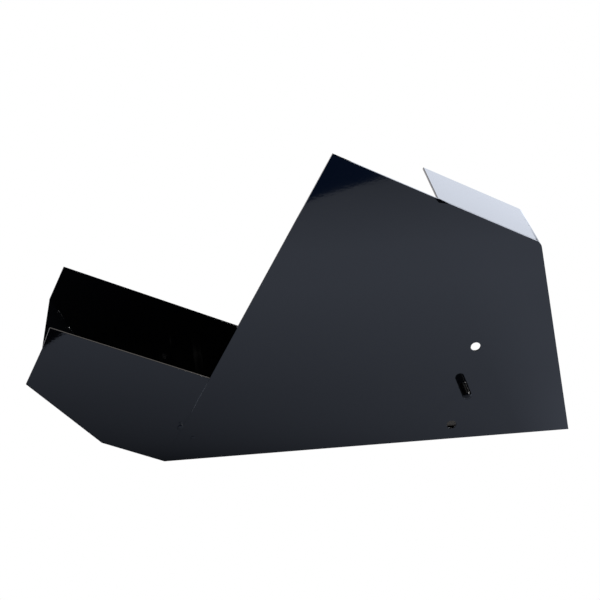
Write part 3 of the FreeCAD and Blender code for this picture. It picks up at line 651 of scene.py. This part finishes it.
# ---------------------------------------------------------------- lift handle's welds
# Rings of a weld round the handle's foot: height above the foot, and reach out from the bar.
HANDLE_WELD_RINGS = ((-0.6 * MM, 0.4 * MM), (0.6 * MM, 2.6 * MM), (2.6 * MM, 3.6 * MM),
                     (5.2 * MM, 3.8 * MM), (8.0 * MM, 3.4 * MM), (10.2 * MM, 2.4 * MM),
                     (11.4 * MM, 0.4 * MM))
HANDLE_WELD_STEPS = 16
HANDLE_WELD_SIDE = 1.6 * MM         # how far it spreads past the rod on each side
HANDLE_WELD_WOBBLE = 0.06
HANDLE_WELD_SINK = 0.3 * MM         # how far it reaches into the bar


def handle_welds():
    """Small round welds where the lift handle's feet meet the lower end bar."""
    low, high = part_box("lift_handle")
    bar_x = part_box("lower_end_bar")[0].x
    rod = (high.x - low.x) / 2
    mesh_data = bmesh.new()
    for y in (low.y + rod, high.y - rod):
        rings = []
        for rise, reach in HANDLE_WELD_RINGS:
            centre = Vector((bar_x, y, low.z + rise))
            ring = []
            for step in range(HANDLE_WELD_STEPS + 1):
                angle = math.pi * (step / HANDLE_WELD_STEPS) - math.pi / 2
                wobble = 1 + HANDLE_WELD_WOBBLE * math.sin(rise / MM * 2.7 + step)
                side = math.sin(angle) * (rod + HANDLE_WELD_SIDE)
                ring.append(centre + Vector((-math.cos(angle) * reach, side, 0)) * wobble)
            ring.append(centre + Vector((HANDLE_WELD_SINK, rod * 0.8, 0)))
            ring.append(centre + Vector((HANDLE_WELD_SINK, -rod * 0.8, 0)))
            rings.append(ring)
        loft(mesh_data, rings)
    new_piece("handle_welds", mesh_data, MATERIALS["tray_steel"], "riffle_tray")


# ---------------------------------------------------------------- stage, lights and camera
def emitter(name, corners, colour, strength):
    """Flat glowing panel of the stage."""
    mesh = bpy.data.meshes.new(name)
    mesh.from_pydata([tuple(corner) for corner in corners], [], [tuple(range(len(corners)))])
    material = bpy.data.materials.new(name)
    material.use_nodes = True
    tree = material.node_tree
    tree.nodes.clear()
    glow = tree.nodes.new("ShaderNodeEmission")
    glow.inputs["Color"].default_value = (*colour, 1)
    glow.inputs["Strength"].default_value = strength
    output = tree.nodes.new("ShaderNodeOutputMaterial")
    tree.links.new(glow.outputs["Emission"], output.inputs["Surface"])
    mesh.materials.append(material)
    item = bpy.data.objects.new(name, mesh)
    bpy.context.scene.collection.objects.link(item)
    return item, tree, glow


def level_corners(left, right, near, far, z):
    return [(left, near, z), (right, near, z), (right, far, z), (left, far, z)]


def seen_by(item, camera=False, gloss=False, diffuse=False):
    item.visible_camera = camera
    item.visible_glossy = gloss
    item.visible_diffuse = diffuse
    item.visible_transmission = camera
    item.visible_shadow = False
    item.visible_volume_scatter = False


FLOOR_HALF, FLOOR_Z = 6.0, -1.0 * MM             # the white floor that the camera sees
LIT_FLOOR_Z, LIT_FLOOR_BACK = -0.5 * MM, 0.7     # the lit floor's height, and its end behind
FLOOR_TINT = (1.12, 1.26, 1.59)
# Front edge of the lit floor, in metres right of the side plate's foot and behind its face.
FLOOR_FRONT = ((-1.2, 0.62), (-0.140, -0.235), (-0.104, -0.282), (0.236, -0.600),
               (0.345, -0.660), (1.6, -1.35))
# Evenness of the lit floor against the distance from the side plate, as shares of the reach.
FLOOR_RAMP_REACH = 700 * MM
FLOOR_RAMP = ((0.0, 0.80), (0.17, 0.82), (0.36, 0.92), (0.5, 1.0), (0.64, 1.0), (0.8, 0.83),
              (1.0, 0.61))
# Light that the box keeps off the lit floor: a share at the plate, and the distance it fades over.
WIDE_SHADE, WIDE_FADE = 0.63, 250 * MM
CLOSE_SHADE, CLOSE_FADE = 0.20, 30 * MM
SHADE_LIMIT = 1.3                   # both grow to the left, up to this many times
# Extra light under the back panel's end: a share, its fade, and where it starts and is whole.
END_LIGHT, END_FADE = 0.6, 150 * MM
END_START, END_RUN = 380 * MM, 80 * MM
# Floor patches behind the box: left, right, near, far and height in metres, colour, strength.
BACK_FLOORS = (
    ("back_floor", (-2.4, 1.6, PLATE_Y + 0.02, 4.0, -0.3 * MM), (1.0, 0.98, 1.02), 0.6),
    ("right_floor", (0.34, 1.6, PLATE_Y + 0.14, 1.5, -0.1 * MM), (0.91, 0.97, 1.1), 1.6),
)


def number_node(tree, operation, *values):
    node = tree.nodes.new("ShaderNodeMath")
    node.operation = operation
    for socket, value in zip(node.inputs, values):
        if isinstance(value, bpy.types.NodeSocket):
            tree.links.new(value, socket)
        else:
            socket.default_value = value
    return node.outputs[0]


def limited(tree, value, most):
    """The value kept between nothing and the most."""
    return number_node(tree, "MINIMUM", number_node(tree, "MAXIMUM", value, 0.0), most)


def fading(tree, distance, reach):
    return number_node(tree, "EXPONENT", number_node(tree, "DIVIDE", distance, -reach))


def shade_lit_floor(tree, glow):
    """The floor is dimmer close to the side plate, where the box itself keeps light off it."""
    place = tree.nodes.new("ShaderNodeTexCoord")
    split = tree.nodes.new("ShaderNodeSeparateXYZ")
    tree.links.new(place.outputs["Object"], split.inputs[0])
    x, y = split.outputs["X"], split.outputs["Y"]
    away = number_node(tree, "ABSOLUTE", number_node(tree, "SUBTRACT", y, PLATE_Y))
    leftward = number_node(tree, "SUBTRACT", BACK.x, x)
    leftward = number_node(tree, "DIVIDE", leftward, BACK.x - FOOT.x)
    leftward = limited(tree, leftward, SHADE_LIMIT)
    wide = number_node(tree, "MULTIPLY", fading(tree, away, WIDE_FADE), WIDE_SHADE)
    close = number_node(tree, "MULTIPLY", fading(tree, away, CLOSE_FADE), CLOSE_SHADE)
    shade = number_node(tree, "MULTIPLY", number_node(tree, "ADD", wide, close), leftward)
    kept = number_node(tree, "SUBTRACT", 1.0, shade)

    ramp = tree.nodes.new("ShaderNodeValToRGB")
    tree.links.new(number_node(tree, "DIVIDE", away, FLOOR_RAMP_REACH), ramp.inputs["Fac"])
    stops = ramp.color_ramp.elements
    while len(stops) < len(FLOOR_RAMP):
        stops.new(0.5)
    for stop, (share, level) in zip(stops, FLOOR_RAMP):
        stop.position = share
        stop.color = (level, level, level, 1)
    kept = number_node(tree, "MULTIPLY", kept, ramp.outputs["Color"])

    # Close under the back panel's end the floor gets more light again.
    end = number_node(tree, "SUBTRACT", x, FOOT.x + END_START)
    end = limited(tree, number_node(tree, "DIVIDE", end, END_RUN), 1.0)
    lift = number_node(tree, "MULTIPLY", end, fading(tree, away, END_FADE))
    lift = number_node(tree, "ADD", number_node(tree, "MULTIPLY", lift, END_LIGHT), 1.0)
    tree.links.new(number_node(tree, "MULTIPLY", kept, lift), glow.inputs["Strength"])


PANEL_DISTANCE = 1.8                # of a softbox from the box's middle


def facing_panel(name, direction, width, height, colour, strength, centre=None):
    """Softbox: a glowing rectangle in a direction, facing back along it."""
    direction = Vector(direction).normalized()
    centre = centre or BOX_MIDDLE + direction * PANEL_DISTANCE
    right_axis = direction.cross(Vector((0, 0, 1))).normalized()
    up_axis = right_axis.cross(direction)
    corners = [centre + right_axis * sx * width / 2 + up_axis * sy * height / 2
               for sx, sy in ((-1, -1), (1, -1), (1, 1), (-1, 1))]
    panel, _, _ = emitter(name, corners, colour, strength)
    seen_by(panel, gloss=True, diffuse=True)


BACK_DIRECTION = Vector((0.52, 0.84, 0.13)).normalized()
BACK_AIM = Vector((BOX_MIDDLE.x + 0.15, BOX_MIDDLE.y, cad_high.z * 0.8)) + BACK_DIRECTION * 1.6
# Panels behind the box: corners in metres across and up from the aim point, colour, strength.
BACK_PANELS = (
    ("back_softbox", ((-0.27, -0.30), (0.62, -0.30), (0.62, 0.05), (-0.27, 0.05)),
     (0.91, 0.97, 1.1), 3.4),
    ("fold_wing", ((-0.12, -0.50), (0.62, -0.50), (0.62, -0.31), (-0.12, -0.31)),
     (0.91, 0.97, 1.1), 2.4),
    ("rim_wing", ((-0.29, 0.12), (-0.80, 0.47), (-0.80, 0.80), (-0.29, 0.60)),
     (1.0, 0.93, 0.88), 1.2),
)
EDGE_PANEL_PLACE = Vector((FOOT.x - 0.55, PLATE_Y + 1.58, 0.14))
FRONT_BLUE_PLACE = Vector((FOOT.x + 0.15, PLATE_Y - 0.86, 0.06))


def make_stage():
    """White floor for the camera, and lit floors and panels for the gloss coat to mirror."""
    corners = level_corners(-FLOOR_HALF, FLOOR_HALF, -FLOOR_HALF, FLOOR_HALF, FLOOR_Z)
    floor, _, _ = emitter("floor", corners, (1, 1, 1), 1.0)
    seen_by(floor, camera=True)

    # The lit floor ends in front of the box along a bent line, beyond which the studio is dark.
    corners = [(FOOT.x + x, PLATE_Y + y, LIT_FLOOR_Z) for x, y in FLOOR_FRONT]
    corners += [(corners[end][0], PLATE_Y + LIT_FLOOR_BACK, LIT_FLOOR_Z) for end in (-1, 0)]
    lit, tree, glow = emitter("lit_floor", corners, FLOOR_TINT, 1.0)
    shade_lit_floor(tree, glow)
    seen_by(lit, gloss=True, diffuse=True)

    # Behind the box the floor is dimmer, but bright on the right.
    for name, place, colour, strength in BACK_FLOORS:
        patch, _, _ = emitter(name, level_corners(*place), colour, strength)
        seen_by(patch, gloss=True, diffuse=True)

    # Low behind the box: a softbox mirrored by the hood, and wings for its fold and the rim.
    beside = BACK_DIRECTION.cross(Vector((0, 0, 1))).normalized()
    upward = beside.cross(BACK_DIRECTION)
    for name, shape, colour, strength in BACK_PANELS:
        corners = [BACK_AIM + beside * across + upward * rise for across, rise in shape]
        panel, _, _ = emitter(name, corners, colour, strength)
        seen_by(panel, gloss=True, diffuse=True)

    facing_panel("top_softbox", (0.05, -0.25, 1), 1.0, 0.8, (1, 1, 1), 3.0)
    # Far off on the left behind, mirrored by the cut edges that face that way.
    facing_panel("edge_panel", (-0.46, 0.88, -0.08), 0.55, 0.3, (1.0, 0.98, 1.0), 2.3,
                 EDGE_PANEL_PLACE)
    # High and dim behind, for the level surfaces inside the box.
    facing_panel("backdrop", (0.24, 0.81, 0.58), 0.7, 0.7, (1, 1, 1), 0.45)
    # Small on the right, high in front, for the stud's nose.
    facing_panel("stud_light", (0.70, -0.38, 0.60), 0.5, 0.5, (1, 1, 1), 36.0)
    # Weak and blue, beyond the lit floor.
    facing_panel("front_blue", (-0.1, -0.96, -0.28), 2.4, 0.5, (0.08, 0.30, 1.0), 0.30,
                 FRONT_BLUE_PLACE)

    world = bpy.data.worlds.new("studio")
    world.use_nodes = True
    world.node_tree.nodes["Background"].inputs["Color"].default_value = (1, 1, 1, 1)
    world.node_tree.nodes["Background"].inputs["Strength"].default_value = 1.0
    bpy.context.scene.world = world
    world.cycles_visibility.glossy = False
    world.cycles_visibility.diffuse = False


CAMERA_AZIMUTH = math.radians(6.93)       # to the right of straight at the side plate
CAMERA_DROP = math.radians(29.46)         # looking down
CAMERA_ROLL = math.radians(-0.57)
CAMERA_DISTANCE = 1.62
CAMERA_LENS, CAMERA_SENSOR = 92.09, 36.0  # millimetres
CAMERA_AIM = Vector((0.1541, 0.0778, 0.1381))    # aim point, from the foot of the side plate


def make_camera():
    forward = Vector((math.sin(CAMERA_AZIMUTH) * math.cos(CAMERA_DROP),
                      math.cos(CAMERA_AZIMUTH) * math.cos(CAMERA_DROP), -math.sin(CAMERA_DROP)))
    aim = Vector((FOOT.x, PLATE_Y, 0)) + CAMERA_AIM
    data = bpy.data.cameras.new("camera")
    data.sensor_width = CAMERA_SENSOR
    data.lens = CAMERA_LENS
    data.clip_end = 50
    camera = bpy.data.objects.new("camera", data)
    bpy.context.scene.collection.objects.link(camera)
    camera.rotation_mode = "QUATERNION"
    turn = forward.to_track_quat("-Z", "Y").to_matrix() @ Matrix.Rotation(CAMERA_ROLL, 3, "Z")
    camera.rotation_quaternion = turn.to_quaternion()
    camera.location = aim - forward * CAMERA_DISTANCE
    bpy.context.scene.camera = camera


paint_cad_nodes()
soften_cad_nodes()
seam_dressing()
spatter_blobs()
fold_start()
threaded_stud()
domed_rivets("strip_rivets", "domed_strip_rivets")
domed_rivets("ear_rivets", "domed_ear_rivets")
handle_welds()
shell_welds()
make_stage()
make_camera()

scene = bpy.context.scene
scene.view_settings.view_transform = "Standard"
scene.cycles.use_denoising = True
